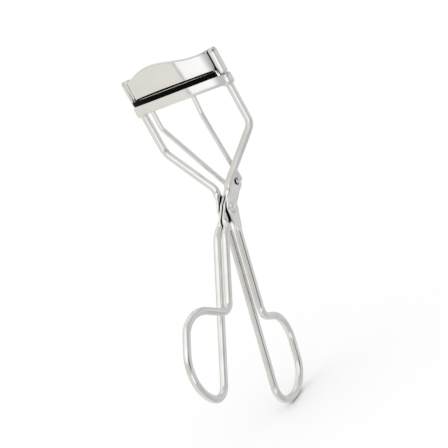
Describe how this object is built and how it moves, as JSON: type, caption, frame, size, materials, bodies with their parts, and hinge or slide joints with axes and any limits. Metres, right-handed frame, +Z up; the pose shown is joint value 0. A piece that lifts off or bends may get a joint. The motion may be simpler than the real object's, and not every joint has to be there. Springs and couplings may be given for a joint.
{
  "type": "eyelash curler",
  "caption": "Scissor-handled eyelash curler of bent plated wire, with a curved upper plate and a padded lower jaw that slides up two posts.",
  "frame": {"origin": "bottom centre of the bounding box, as the curler stands with its posts upright", "axes": "+Z up along the posts, +X to the right across the jaw, -Y to the front, where the jaw bulges"},
  "size_m": [0.0392, 0.0701, 0.1168],
  "materials": {
    "frame_wire": "polished",
    "jaw_plate": "polished",
    "rivet": "polished",
    "lever_flat": "satin pressed flat",
    "lever_wire": "polished",
    "jaw_channel": "polished",
    "pad": "matt",
    "rod": "polished"
  },
  "bodies": {
    "frame": {"right_arm": "frame_wire", "left_arm": "frame_wire", "frame_handle": "frame_wire", "upper_plate": "jaw_plate", "pivot_rivet": "rivet"},
    "lever": {"lever_flats": "lever_flat", "lever_handle": "lever_wire"},
    "lower_jaw": {"jaw_channel": "jaw_channel", "rubber_pad": "pad"},
    "push_rods": {"push_rod_right": "rod", "push_rod_left": "rod"}
  },
  "joints": [
    {"name": "lever_pivot", "type": "hinge", "parent": "frame", "child": "lever", "pos_m": [0, 0.02185, 0.06354], "axis": [-1, 0, 0], "range_deg": [-0.5, 33]},
    {"name": "jaw_slide", "type": "slide", "parent": "frame", "child": "lower_jaw", "axis": [0, 0, -1], "range_m": [-0.0001, 0.0066]},
    {"name": "push_rod_swing", "type": "hinge", "parent": "lower_jaw", "child": "push_rods", "pos_m": [0, 0.02363, 0.10253], "axis": [1, 0, 0], "range_deg": [-0.03, 1.85]}
  ],
  "couplings": [
    {"joint": "jaw_slide", "follows": "lever_pivot", "m_per_rad": 0.0114},
    {"joint": "push_rod_swing", "follows": "lever_pivot", "ratio": 0.056}
  ]
}
